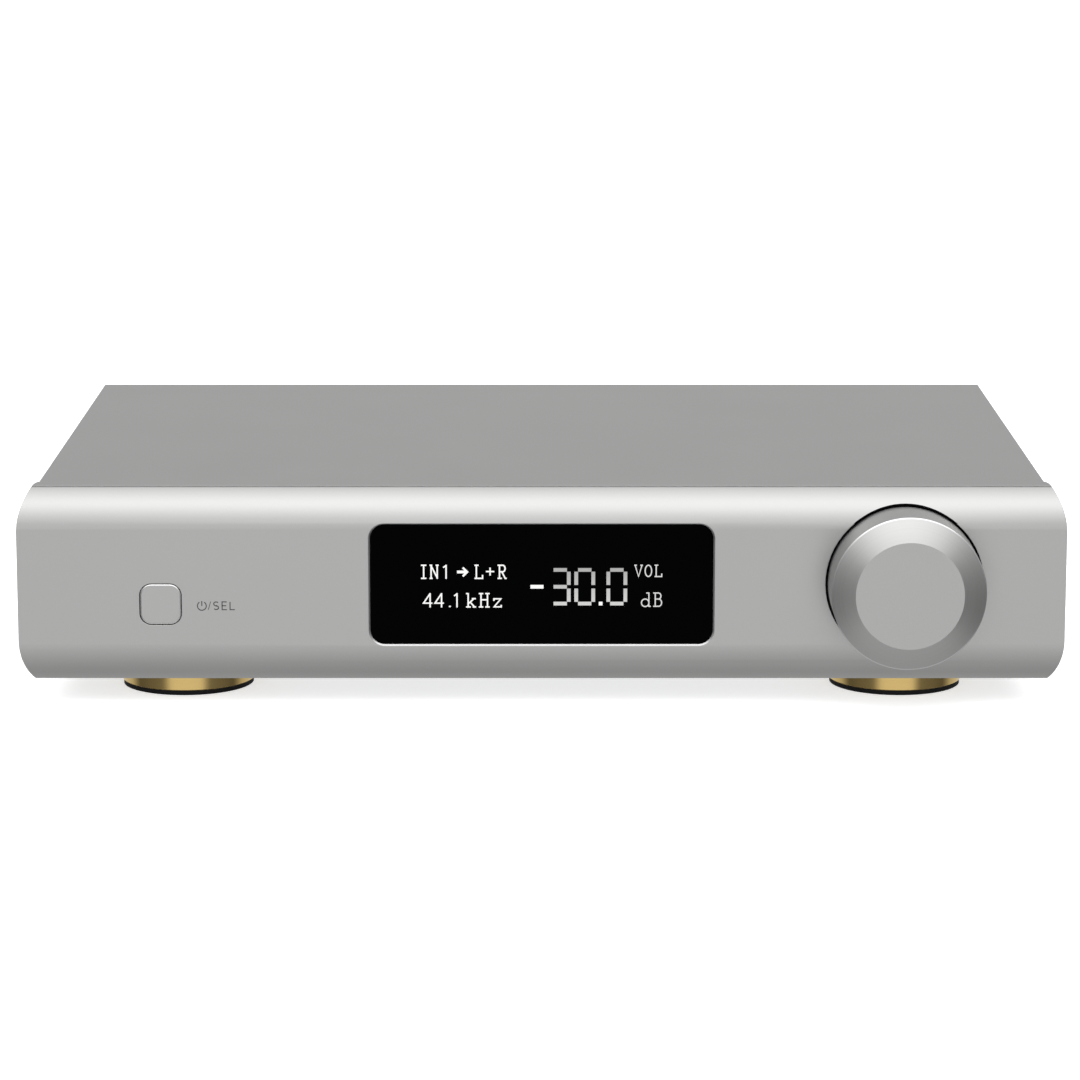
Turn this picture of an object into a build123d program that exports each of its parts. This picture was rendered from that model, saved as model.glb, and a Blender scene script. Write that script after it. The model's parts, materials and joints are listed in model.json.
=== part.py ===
from build123d import *
import math
import os

# Desktop digital-to-analogue converter (half-width audio case).
#
# Frame: +X to the right seen from the front, +Y towards the rear, +Z up, millimetres.
# The origin is the centre of the object's box on the surface it stands on.
# Most places are given as (x, depth, z), where depth is the distance behind the
# flat front face of the fascia.

# ---------------------------------------------------------------- driving sizes
FASCIA_W = 330.0          # overall width
FASCIA_BOTTOM = 8.35      # fascia's lower edge above the surface
FASCIA_H = 61.75
BODY_DEPTH = 214.0        # front face to the rear panel's outer face
KNOB_REACH = 20.4         # knob's end ahead of the front face
JACK_REACH = 10.0         # phono barrels behind the rear panel

BULL_DEPTH = 6.6          # the fascia's rounded upper and lower edges
BULL_RISE = 12.4
CORNER_R = 24.1           # arcs at the four corners of the front outline
CORNER_RISE = 13.74
GROOVE = 1.6              # shadow gap between fascia and case
SPIGOT_BACK = 12.0        # rear of the fascia's inner step
SPIGOT_HALF_W = 145.6
FLARE_BACK = 16.0         # where the case's flared front end meets its plain sides
BODY_INSET = 1.45         # case sides lie this far inside the fascia's ends

PLATE = 3.0               # cover, bottom plate and rear panel
BODY_BOTTOM = 9.6
RAIL_IN = 156.0           # inner face of the side rails
LEDGE_IN = 147.0
LEDGE_H = 6.0

WINDOW_X, WINDOW_Z = 0.0, 40.05
WINDOW_W, WINDOW_H, WINDOW_R = 108.0, 38.5, 4.6
WINDOW_CHAMFER = 0.5

BUTTON_X, BUTTON_Z, BUTTON_SIZE, BUTTON_R = -120.0, 33.7, 13.1, 3.7
BUTTON_GAP = 0.12
BUTTON_EDGE = 0.65         # rounding of the button's front edge

KNOB_X, KNOB_Z = 114.2, 40.5
KNOB_R, KNOB_DISC_R, KNOB_BEVEL = 24.15, 16.9, 3.6
KNOB_BULGE = 0.12         # how far the knob's bevel bows out
KNOB_RIM_W, KNOB_RIM_H = 0.36, 0.25   # small chamfer where the bevel meets the side
KNOB_BACK = 1.4           # depth of the knob's rear edge inside its recess
RECESS_R, RECESS_DEPTH = 24.9, 3.0
SHAFT_R = 3.0
RUNNING = 0.05            # radial clearance of a shaft that turns

FOOT_X, FOOT_DEPTH = 114.9, 39.3
FOOT_R, FOOT_PAD_R, FOOT_PAD_H = 21.9, 21.1, 1.5

BOARD_Z0, BOARD_T = 24.0, 1.6
BOARD_TOP = BOARD_Z0 + BOARD_T

# places across the rear panel
INLET_X, INLET_Z = 116.0, 38.0
ROCKER_X, ROCKER_Z = 76.0, 38.0
XLR_X, XLR_Z, XLR_R = (12.0, 44.0), 38.5, 11.8
PHONO_X, PHONO_Z = (-14.0, -34.0, -58.0), 36.0
OPTICAL_X = -80.0
USB_X = -101.0
TRIGGER_X, TRIGGER_Z = (-121.0, -136.0), 31.6

# ---------------------------------------------------------------- worked-out sizes
FASCIA_TOP = FASCIA_BOTTOM + FASCIA_H
Y_FACE = KNOB_REACH - (KNOB_REACH + BODY_DEPTH + JACK_REACH) / 2
CASE_FRONT = BULL_DEPTH + GROOVE
REAR_IN = BODY_DEPTH - PLATE
COVER_BOTTOM = FASCIA_TOP - PLATE
FLOOR_TOP = BODY_BOTTOM + PLATE
LEDGE_X = (LEDGE_IN + RAIL_IN) / 2
REAR_FOOT_DEPTH = BODY_DEPTH - FOOT_DEPTH
SMALL = 0.1               # assembly gap between pieces that are not fastened face to face

parts = {}


# ---------------------------------------------------------------- shape helpers
def y_at(depth):
    return Y_FACE + depth


def block(x0, x1, d0, d1, z0, z1):
    """A box between two x places, two depths and two heights."""
    centre = ((x0 + x1) / 2, y_at((d0 + d1) / 2), (z0 + z1) / 2)
    return Pos(*centre) * Box(abs(x1 - x0), abs(d1 - d0), abs(z1 - z0))


def rod_y(x, z, r, d0, d1):
    """A cylinder along Y between two depths."""
    return Pos(x, y_at((d0 + d1) / 2), z) * Rot(X=90) * Cylinder(r, abs(d1 - d0))


def rod_z(x, depth, r, z0, z1):
    """A cylinder along Z between two heights."""
    return Pos(x, y_at(depth), (z0 + z1) / 2) * Cylinder(r, z1 - z0)


def prism_y(sketch, d0, d1):
    """A sketch in x and z, drawn out between two depths."""
    plane = Plane(origin=(0, y_at(d1), 0), x_dir=(1, 0, 0), z_dir=(0, -1, 0))
    return extrude(plane * sketch, amount=d1 - d0)


def rounded_y(x, z, w, h, r, d0, d1):
    return prism_y(Pos(x, z) * RectangleRounded(w, h, r), d0, d1)


def turned(points, x, depth, z, along_y=True):
    """A body of revolution from (radius, height) points about Z, or laid along Y."""
    profile = make_face(Plane.XZ * Polyline(*points, close=True))
    body = revolve(profile, axis=Axis.Z)
    turn = Rot(X=90) if along_y else Rot()
    return Pos(x, y_at(depth), z) * turn * body


def countersunk_z(x, depth, z_head, r=1.5, head_r=2.9, length=8.0):
    """A flat-head screw's outside, pointing up from its head face at z_head."""
    neck, tip = z_head + head_r - r, z_head + length
    points = [(0, z_head), (head_r, z_head), (r, neck), (r, tip), (0, tip)]
    return turned(points, x, depth, 0, along_y=False)


def screw_y(x, seat, z, r=1.5, head_r=2.8, head_h=1.8, length=8.0):
    """A pan-head screw along Y, seated at a depth, with its shank going towards the front."""
    head = rod_y(x, z, head_r, seat, seat + head_h) - rod_y(x, z, 1.0, seat + 0.6, seat + head_h)
    return head + rod_y(x, z, r, seat, seat - length)


def together(shapes):
    """Separate solids kept in one node."""
    return Compound(children=[s for shape in shapes for s in shape.solids()])


def save(name, shape):
    parts[name] = shape


# ---------------------------------------------------------------- outer envelope
def front_outline(inset):
    """The front view's outline: straight sides with an arc at each corner."""
    half = FASCIA_W / 2 - inset
    edge = CORNER_R - math.sqrt(CORNER_R**2 - CORNER_RISE**2)
    mid = CORNER_R - math.sqrt(CORNER_R**2 - (CORNER_RISE / 2) ** 2)
    lo, hi = FASCIA_BOTTOM, FASCIA_TOP
    right_low = ThreePointArc(
        (half - edge, lo), (half - mid, lo + CORNER_RISE / 2), (half, lo + CORNER_RISE)
    )
    right_side = Line((half, lo + CORNER_RISE), (half, hi - CORNER_RISE))
    right_high = ThreePointArc(
        (half, hi - CORNER_RISE), (half - mid, hi - CORNER_RISE / 2), (half - edge, hi)
    )
    top = Line((half - edge, hi), (edge - half, hi))
    left_high = ThreePointArc(
        (edge - half, hi), (mid - half, hi - CORNER_RISE / 2), (-half, hi - CORNER_RISE)
    )
    left_side = Line((-half, hi - CORNER_RISE), (-half, lo + CORNER_RISE))
    left_low = ThreePointArc(
        (-half, lo + CORNER_RISE), (mid - half, lo + CORNER_RISE / 2), (edge - half, lo)
    )
    bottom = Line((edge - half, lo), (half - edge, lo))
    edges = [right_low, right_side, right_high, top, left_high, left_side, left_low, bottom]
    return make_face(Curve(children=edges).edges())


def case_envelope():
    """The case's outside: flared at the front, then straight to the rear."""
    steps = 5
    start = CASE_FRONT + 1.0
    solids = [prism_y(front_outline(0), CASE_FRONT, start)]
    for k in range(steps):
        a0, a1 = (math.pi / 2) * k / steps, (math.pi / 2) * (k + 1) / steps
        d0 = start + (FLARE_BACK - start) * math.sin(a0)
        d1 = start + (FLARE_BACK - start) * math.sin(a1)
        i0, i1 = BODY_INSET * (1 - math.cos(a0)), BODY_INSET * (1 - math.cos(a1))
        sections = []
        for depth, inset in ((d0, i0), (d1, i1)):
            plane = Plane(origin=(0, y_at(depth), 0), x_dir=(1, 0, 0), z_dir=(0, -1, 0))
            sections.append(plane * front_outline(inset))
        solids.append(loft(sections, ruled=True))
    solids.append(prism_y(front_outline(BODY_INSET), FLARE_BACK, BODY_DEPTH))
    shape = solids[0]
    for s in solids[1:]:
        shape = shape + s
    return shape


# ---------------------------------------------------------------- more shape helpers
def screw_z(x, depth, z_seat, up, r=1.5, head_r=2.8, head_h=1.8, length=8.0):
    """A pan-head screw along Z, seated at z_seat, with its shank going up or down."""
    way = 1 if up else -1
    head = rod_z_between(x, depth, head_r, z_seat, z_seat - way * head_h)
    head = head - rod_z_between(x, depth, 1.0, z_seat - way * 0.6, z_seat - way * head_h)
    return head + rod_z_between(x, depth, r, z_seat, z_seat + way * length)


def rod_z_between(x, depth, r, z0, z1):
    return rod_z(x, depth, r, min(z0, z1), max(z0, z1))


def cable(points, r, bend):
    """A round wire through (x, depth, z) points, with an arc at each turn."""
    path = FilletPolyline(*[(x, y_at(d), z) for x, d, z in points], radius=bend)
    return sweep(Plane(origin=path @ 0, z_dir=path % 0) * Circle(r), path=path)


def hexagon_y(x, z, flats, d0, d1):
    return prism_y(Pos(x, z) * RegularPolygon(flats / 2, 6, major_radius=False), d0, d1)


# ---------------------------------------------------------------- case
RAIL_SCREW_DEPTHS = (34.0, 112.0, 192.0)
REAR_SCREWS = [(sx * LEDGE_X, z) for sx in (-1, 1) for z in (FLOOR_TOP + 3, COVER_BOTTOM - 3)]
FASCIA_SCREWS = [(sx * LEDGE_X, z) for sx in (-1, 1) for z in (26.0, 54.0)]
BOSS_BACK = 18.0
SCREW_R = 1.5
FEET = [(sx * FOOT_X, d) for sx in (-1, 1) for d in (FOOT_DEPTH, REAR_FOOT_DEPTH)]
FOOT_SCREW_R = 2.0
TOROID_X, TOROID_DEPTH, TOROID_R, TOROID_H = 100.0, 134.0, 38.0, 34.0
VENT_DEPTHS = [62.0 + 9.0 * k for k in range(10)]
VENT_XS = (-90.0, -12.0, 28.0)


def cut_all(shape, tools):
    for tool in tools:
        shape = shape - tool
    return shape


def make_top_cover(envelope):
    cover = envelope & block(-200, 200, 0, BODY_DEPTH + 1, COVER_BOTTOM, FASCIA_TOP + 1)
    holes = [rod_z(sx * LEDGE_X, d, SCREW_R, COVER_BOTTOM - 1, COVER_BOTTOM + 2.2)
             for sx in (-1, 1) for d in RAIL_SCREW_DEPTHS]
    return cut_all(cover, holes)


def make_bottom_plate(envelope):
    plate = envelope & block(-200, 200, 0, BODY_DEPTH + 1, BODY_BOTTOM, FLOOR_TOP)
    cuts = []
    for sx in (-1, 1):
        for d in RAIL_SCREW_DEPTHS:
            cuts.append(countersunk_z(sx * LEDGE_X, d, BODY_BOTTOM))
    cuts += [rod_z(x, d, FOOT_SCREW_R, 0, 20) for x, d in FEET]
    cuts += [rod_z(x, d, SCREW_R, 0, 20) for x, d in MAIN_POSTS + SUPPLY_POSTS]
    cuts.append(rod_z(TOROID_X, TOROID_DEPTH, 2.5, 0, 20))
    slot = SlotOverall(34, 3)
    for x in VENT_XS:
        for d in VENT_DEPTHS:
            cuts.append(Pos(x, y_at(d), BODY_BOTTOM - 1) * extrude(slot, amount=PLATE + 2))
    return cut_all(plate, cuts)


def make_side_rail(envelope, side):
    web = envelope & block(side * RAIL_IN, side * 200, 0, REAR_IN, FLOOR_TOP, COVER_BOTTOM)
    inner, outer = side * LEDGE_IN, side * (RAIL_IN + 1)
    low = block(inner, outer, CASE_FRONT, REAR_IN, FLOOR_TOP, FLOOR_TOP + LEDGE_H)
    high = block(inner, outer, CASE_FRONT, REAR_IN, COVER_BOTTOM - LEDGE_H, COVER_BOTTOM)
    boss = block(inner, outer, BULL_DEPTH, BOSS_BACK, FLOOR_TOP, COVER_BOTTOM)
    rail = web + low + high + boss
    holes = [rod_z(side * LEDGE_X, d, SCREW_R, 0, 80) for d in RAIL_SCREW_DEPTHS]
    for x, z in REAR_SCREWS:
        if x * side > 0:
            holes.append(rod_y(x, z, SCREW_R, REAR_IN - 8, REAR_IN))
    for x, z in FASCIA_SCREWS:
        if x * side > 0:
            holes.append(rod_y(x, z, SCREW_R, 0, BOSS_BACK))
    return cut_all(rail, holes)


def make_rear_panel(envelope):
    panel = envelope & block(-200, 200, REAR_IN, BODY_DEPTH, FLOOR_TOP, COVER_BOTTOM)
    d0, d1 = REAR_IN - 1, BODY_DEPTH + 1
    cuts = [rod_y(x, z, SCREW_R, d0, d1) for x, z in REAR_SCREWS]
    cuts.append(rounded_y(INLET_X, INLET_Z, INLET_BODY_W, INLET_BODY_H, 1, d0, d1))
    cuts += [rod_y(INLET_X + sx * INLET_SCREW, INLET_Z, SCREW_R, d0, d1) for sx in (-1, 1)]
    cuts.append(rounded_y(ROCKER_X, ROCKER_Z, ROCKER_BODY_W, ROCKER_BODY_H, 0.8, d0, d1))
    for x in XLR_X:
        cuts.append(rod_y(x, XLR_Z, XLR_R, d0, d1))
        cuts += [rod_y(x - s * XLR_SCREW_X, XLR_Z + s * XLR_SCREW_Z, SCREW_R, d0, d1) for s in (-1, 1)]
    cuts += [rod_y(x, PHONO_Z, PHONO_NECK_R, d0, d1) for x in PHONO_X]
    cuts.append(rounded_y(OPTICAL_X, OPTICAL_Z, OPTICAL_W, OPTICAL_H, 0.8, d0, d1))
    cuts.append(rounded_y(USB_X, USB_Z, USB_W, USB_H, 0.8, d0, d1))
    cuts += [rod_y(x, TRIGGER_Z, TRIGGER_NECK_R, d0, d1) for x in TRIGGER_X]
    return cut_all(panel, cuts)


def make_case_screws():
    cover, bottom = [], []
    for sx in (-1, 1):
        for d in RAIL_SCREW_DEPTHS:
            cover.append(screw_z(sx * LEDGE_X, d, COVER_BOTTOM - LEDGE_H, True, length=LEDGE_H + 2.0))
            driver = rod_z(sx * LEDGE_X, d, 1.0, BODY_BOTTOM, BODY_BOTTOM + 1.2)
            bottom.append(countersunk_z(sx * LEDGE_X, d, BODY_BOTTOM) - driver)
    rear = [screw_y(x, BODY_DEPTH, z, length=PLATE + 7.5) for x, z in REAR_SCREWS]
    front = [screw_y(x, BOSS_BACK, z, length=BOSS_BACK - 3.5) for x, z in FASCIA_SCREWS]
    save("case_screws", together(cover + rear + front))
    save("bottom_screws", together(bottom))


# ---------------------------------------------------------------- fascia
def side_profile():
    """The fascia seen from its end: flat front with an arc above and below."""
    r = (BULL_DEPTH**2 + BULL_RISE**2) / (2 * BULL_DEPTH)
    half_angle = math.asin(BULL_RISE / r) / 2
    mid_d, mid_rise = r - r * math.cos(half_angle), r * math.sin(half_angle)
    lo, hi = FASCIA_BOTTOM, FASCIA_TOP
    low_z, high_z = lo + BULL_RISE, hi - BULL_RISE
    edges = [
        Line((y_at(0), low_z), (y_at(0), high_z)),
        ThreePointArc((y_at(0), high_z), (y_at(mid_d), high_z + mid_rise), (y_at(BULL_DEPTH), hi)),
        Line((y_at(BULL_DEPTH), hi), (y_at(BULL_DEPTH), lo)),
        ThreePointArc((y_at(BULL_DEPTH), lo), (y_at(mid_d), low_z - mid_rise), (y_at(0), low_z)),
    ]
    return make_face(Curve(children=edges).edges())


GLASS_FRONT, GLASS_T, ADHESIVE_T = 0.6, 2.0, 0.3
GLASS_SEAT = GLASS_FRONT + GLASS_T + ADHESIVE_T
PANEL_W, PANEL_H = 96.0, 28.0
DISPLAY_POCKET_W, DISPLAY_POCKET_H = 116.0, 46.0
DISPLAY_BOARD_W, DISPLAY_BOARD_H, DISPLAY_BOARD_T = 114.0, 44.0, 1.6
DISPLAY_SCREWS = [(WINDOW_X + sx * 53.0, WINDOW_Z + sz * 18.5) for sx in (-1, 1) for sz in (-1, 1)]
FINE_SCREW_R = 1.2

BUTTON_HOLE_BACK = 5.0
BUTTON_POCKET = 19.0
FLANGE_FRONT = BUTTON_HOLE_BACK + 0.2
FRONT_BOARD_X, FRONT_BOARD_Z = (-140.0, -66.0), (19.0, 61.0)
FRONT_BOARD_SCREWS = [(x, z) for x in (-136.0, -70.0) for z in (23.0, 57.0)]

WALL_BACK = 7.0
ENCODER_POCKET_R = 12.0
BUSH_R = 3.5


def make_fascia():
    profile = Plane(origin=(0, 0, 0), x_dir=(0, 1, 0), z_dir=(1, 0, 0)) * side_profile()
    slab = extrude(profile, amount=200, both=True) & prism_y(front_outline(0), -1, BULL_DEPTH + 1)
    z0, z1 = FLOOR_TOP + SMALL, COVER_BOTTOM - SMALL
    fascia = slab + block(-SPIGOT_HALF_W, SPIGOT_HALF_W, BULL_DEPTH - 1, SPIGOT_BACK, z0, z1)
    w, h, r = WINDOW_W, WINDOW_H, WINDOW_R
    wx, wz, c = WINDOW_X, WINDOW_Z, WINDOW_CHAMFER
    mouth_wide = Plane(origin=(wx, y_at(0), wz), x_dir=(1, 0, 0), z_dir=(0, -1, 0))
    mouth_tight = Plane(origin=(wx, y_at(c), wz), x_dir=(1, 0, 0), z_dir=(0, -1, 0))
    wide = mouth_wide * RectangleRounded(w + 2 * c, h + 2 * c, r + c)
    mouth = loft([wide, mouth_tight * RectangleRounded(w, h, r)], ruled=True)
    cuts = [mouth, rounded_y(wx, wz, w, h, r, 0, GLASS_SEAT)]
    cuts.append(rounded_y(wx, wz, PANEL_W + 1, PANEL_H + 1, 1, 0, WALL_BACK + 1))
    cuts.append(rounded_y(wx, wz, DISPLAY_POCKET_W, DISPLAY_POCKET_H, 3, WALL_BACK, SPIGOT_BACK + 1))
    cuts += [rod_y(x, z, FINE_SCREW_R, GLASS_SEAT + 1, WALL_BACK + 1) for x, z in DISPLAY_SCREWS]
    hole = BUTTON_SIZE + 2 * BUTTON_GAP
    cuts.append(rounded_y(BUTTON_X, BUTTON_Z, hole, hole, BUTTON_R + BUTTON_GAP, -1, BUTTON_HOLE_BACK + 1))
    pocket = BUTTON_POCKET
    cuts.append(rounded_y(BUTTON_X, BUTTON_Z, pocket, pocket, 2, BUTTON_HOLE_BACK, SPIGOT_BACK + 1))
    cuts += [rod_y(x, z, FINE_SCREW_R, WALL_BACK - 1, SPIGOT_BACK + 1) for x, z in FRONT_BOARD_SCREWS]
    cuts.append(rod_y(KNOB_X, KNOB_Z, RECESS_R, -1, RECESS_DEPTH))
    cuts.append(rod_y(KNOB_X, KNOB_Z, BUSH_R, 0, SPIGOT_BACK))
    cuts.append(rod_y(KNOB_X, KNOB_Z, ENCODER_POCKET_R, WALL_BACK, SPIGOT_BACK + 1))
    cuts += [rod_y(x, z, SCREW_R, 3.0, BULL_DEPTH + 1) for x, z in FASCIA_SCREWS]
    return cut_all(fascia, cuts)


def make_display():
    wx, wz = WINDOW_X, WINDOW_Z
    slim = 2 * SMALL
    d0, d1 = GLASS_FRONT + GLASS_T, GLASS_SEAT
    glass = rounded_y(wx, wz, WINDOW_W - slim, WINDOW_H - slim, WINDOW_R - SMALL, GLASS_FRONT, d0)
    save("display_glass", glass)
    frame = rounded_y(wx, wz, WINDOW_W - 1, WINDOW_H - 1, WINDOW_R - 0.5, d0, d1)
    save("display_adhesive", frame - rounded_y(wx, wz, PANEL_W + 2, PANEL_H + 2, 1, d0 - 1, d1 + 1))
    save("display_panel", rounded_y(wx, wz, PANEL_W, PANEL_H, 0.8, GLASS_SEAT, WALL_BACK))
    b0, b1 = WALL_BACK, WALL_BACK + DISPLAY_BOARD_T
    board = rounded_y(wx, wz, DISPLAY_BOARD_W, DISPLAY_BOARD_H, 2, b0, b1)
    board = cut_all(board, [rod_y(x, z, FINE_SCREW_R, b0 - 1, b1 + 1) for x, z in DISPLAY_SCREWS])
    save("display_board", board)


def make_button():
    x, z = BUTTON_X, BUTTON_Z
    cap = rounded_y(x, z, BUTTON_SIZE, BUTTON_SIZE, BUTTON_R, 0, FLANGE_FRONT + 0.5)
    front_edges = cap.faces().sort_by(Axis.Y)[0].edges()
    cap = fillet(front_edges, BUTTON_EDGE)
    cap = cap + rounded_y(x, z, BUTTON_POCKET - 2, BUTTON_POCKET - 2, 2, FLANGE_FRONT, FLANGE_FRONT + 1)
    stem_back = FLANGE_FRONT + 2.2
    save("select_button", cap + rod_y(x, z, 2.0, FLANGE_FRONT, stem_back))
    save("switch_actuator", rod_y(x, z, 1.75, stem_back, stem_back + 2.0))
    case = block(x - 3, x + 3, stem_back + 1.1, SPIGOT_BACK, z - 3, z + 3)
    save("switch_body", case - rod_y(x, z, 1.85, stem_back, stem_back + 3.2))
    b0, b1 = SPIGOT_BACK, SPIGOT_BACK + 1.6
    board = block(*FRONT_BOARD_X, b0, b1, *FRONT_BOARD_Z)
    board = cut_all(board, [rod_y(bx, bz, FINE_SCREW_R, b0 - 1, b1 + 1) for bx, bz in FRONT_BOARD_SCREWS])
    save("front_board", board)
    screws = [screw_y(sx, b1, sz, FINE_SCREW_R, 2.3, 1.4, 6.0) for sx, sz in FRONT_BOARD_SCREWS]
    seat = WALL_BACK + DISPLAY_BOARD_T
    screws += [screw_y(sx, seat, sz, FINE_SCREW_R, 2.3, 1.4, 4.0) for sx, sz in DISPLAY_SCREWS]
    save("front_screws", together(screws))


# ---------------------------------------------------------------- volume control
def make_volume():
    x, z = KNOB_X, KNOB_Z
    front, back = -KNOB_REACH, KNOB_BACK
    length = back - front
    rim, disc = length - KNOB_BEVEL, KNOB_DISC_R
    bevel_foot = (KNOB_R - KNOB_RIM_W, rim)
    mid = ((bevel_foot[0] + disc) / 2 + KNOB_BULGE / 2, rim + KNOB_BEVEL / 2 + KNOB_BULGE)
    outline = [
        Line((0, 0), (KNOB_R, 0)),
        Line((KNOB_R, 0), (KNOB_R, rim - KNOB_RIM_H)),
        Line((KNOB_R, rim - KNOB_RIM_H), bevel_foot),
        ThreePointArc(bevel_foot, mid, (disc, length)),
        Line((disc, length), (0, length)),
        Line((0, length), (0, 0)),
    ]
    profile = make_face((Plane.XZ * Curve(children=outline)).edges())
    knob = Pos(x, y_at(back), z) * Rot(X=90) * revolve(profile, axis=Axis.Z)
    bore_front = -14.0
    knob = knob - rod_y(x, z, 8.0, -3.0, back + 1) - rod_y(x, z, SHAFT_R, bore_front, back)
    grub = rod_z(x, -7.0, 1.5, z - 14.0, z - SHAFT_R)
    knob = knob - rod_z(x, -7.0, 1.5, z - KNOB_R - 1, z - SHAFT_R)
    save("volume_knob", knob)
    save("knob_grub_screw", grub - rod_z(x, -7.0, 0.75, z - 15, z - 12))
    save("encoder_shaft", rod_y(x, z, SHAFT_R, bore_front, 9.0) + rod_y(x, z, 4.6, 9.0, 10.5))
    case = block(x - 6.5, x + 6.5, WALL_BACK, WALL_BACK + 6.5, z - 6.5, z + 6.5)
    case = case + rod_y(x, z, BUSH_R, 0.4, WALL_BACK)
    case = case - rod_y(x, z, SHAFT_R + RUNNING, -1, 9.0) - rod_y(x, z, 4.9, 8.8, 10.8)
    save("encoder_body", case)
    washer = rod_y(x, z, 5.6, RECESS_DEPTH - 0.5, RECESS_DEPTH) - rod_y(x, z, BUSH_R, 0, 5)
    nut = hexagon_y(x, z, 10.0, 0.7, RECESS_DEPTH - 0.5) - rod_y(x, z, BUSH_R, 0, 5)
    save("encoder_nut", together([washer, nut]))


# ---------------------------------------------------------------- feet
def make_feet():
    shells, pads, screws = [], [], []
    profile = [(3.0, BODY_BOTTOM), (FOOT_R, BODY_BOTTOM), (FOOT_R, 7.4), (FOOT_R - 0.35, FOOT_PAD_H + 0.3),
               (FOOT_R - 0.65, FOOT_PAD_H), (10.0, FOOT_PAD_H), (10.0, 5.0), (3.0, 5.0)]
    for x, d in FEET:
        shell = turned(profile, x, d, 0, along_y=False) + rod_z(x, d, 4.0, 5.0, BODY_BOTTOM)
        shells.append(shell - rod_z(x, d, FOOT_SCREW_R, 0, 20))
        pads.append(rod_z(x, d, FOOT_PAD_R, 0, FOOT_PAD_H) - rod_z(x, d, 10.0, -1, 5))
        screws.append(screw_z(x, d, 5.0, True, FOOT_SCREW_R, 3.6, 2.4, 10.0)
                      + rod_z(x, d, 4.0, FLOOR_TOP, FLOOR_TOP + 2.2))
    save("foot_shells", together(shells))
    save("foot_pads", together(pads))
    save("foot_screws", together(screws))


# ---------------------------------------------------------------- rear sockets
INLET_BODY_W, INLET_BODY_H, INLET_SCREW = 28.0, 29.0, 20.0
INLET_FRONT = 188.0
SOCKET_DZ, SOCKET_W, SOCKET_H = 4.5, 24.0, 16.6
DRAWER_DZ, DRAWER_W, DRAWER_H = -9.3, 20.0, 7.4
FUSE_R, FUSE_LENGTH = 2.6, 20.0
FLANGE_T = 2.0
ROCKER_BODY_W, ROCKER_BODY_H, ROCKER_SWING, ROCKER_TILT = 13.2, 19.6, 8.0, 10.0
ROCKER_PIVOT = BODY_DEPTH - 1.5
XLR_SCREW_X, XLR_SCREW_Z, XLR_CAVITY_R = 9.5, 12.0, 9.3
PHONO_NECK_R, PHONO_R = 4.7, 4.15
OPTICAL_W, OPTICAL_H, OPTICAL_Z = 14.0, 14.0, BOARD_TOP + 7.2
USB_W, USB_H, USB_Z = 12.4, 11.2, BOARD_TOP + 5.8
TRIGGER_NECK_R, TRIGGER_BORE_R = 3.2, 1.8
BOARD_BACK = 209.5


def make_inlet():
    x, z = INLET_X, INLET_Z
    d1 = BODY_DEPTH + FLANGE_T
    body = rounded_y(x, z, INLET_BODY_W - SMALL, INLET_BODY_H - SMALL, 1, INLET_FRONT, BODY_DEPTH)
    flange = rounded_y(x, z, 50, 33, 4, BODY_DEPTH, d1)
    housing = body + flange
    zs = z + SOCKET_DZ
    cavity = rounded_y(x, zs, SOCKET_W, SOCKET_H, 3, 200, d1 + 1)
    pins = [(0, 4.0), (-7.0, -2.0), (7.0, -2.0)]
    contacts = [rounded_y(x + px, zs + pz, 2, 4, 0.4, INLET_FRONT - 5, 213) for px, pz in pins]
    slot = rounded_y(x, z + DRAWER_DZ, DRAWER_W, DRAWER_H, 0.6, INLET_FRONT + 1.5, d1 + 1)
    screws_at = [x + sx * INLET_SCREW for sx in (-1, 1)]
    cuts = [cavity, slot] + contacts
    cuts += [rod_y(sx, z, SCREW_R, REAR_IN, d1 + 1) for sx in screws_at]
    save("inlet_housing", cut_all(housing, cuts))
    tab_z = [ROCKER_Z + dz for dz in (-6, 6)]
    tabs = [block(ROCKER_X - 3, ROCKER_X + 3, 190, 198, tz - 0.4, tz + 0.4) for tz in tab_z]
    save("mains_contacts", together(contacts + tabs))
    gap = 0.3
    zd, back = z + DRAWER_DZ, INLET_FRONT + 2
    drawer = rounded_y(x, zd, DRAWER_W - 2 * gap, DRAWER_H - 2 * gap, 0.5, back, d1 + 0.8)
    floor = zd - DRAWER_H / 2 + gap + 1.0
    bay = block(x - 8.4, x + 8.4, back + 1, BODY_DEPTH, floor, zd + DRAWER_H)
    save("fuse_drawer", drawer - bay)
    # the fuse lies along the drawer
    save("fuse", rod_y(x, floor + FUSE_R, FUSE_R, back + 2.5, back + 2.5 + FUSE_LENGTH))


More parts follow.
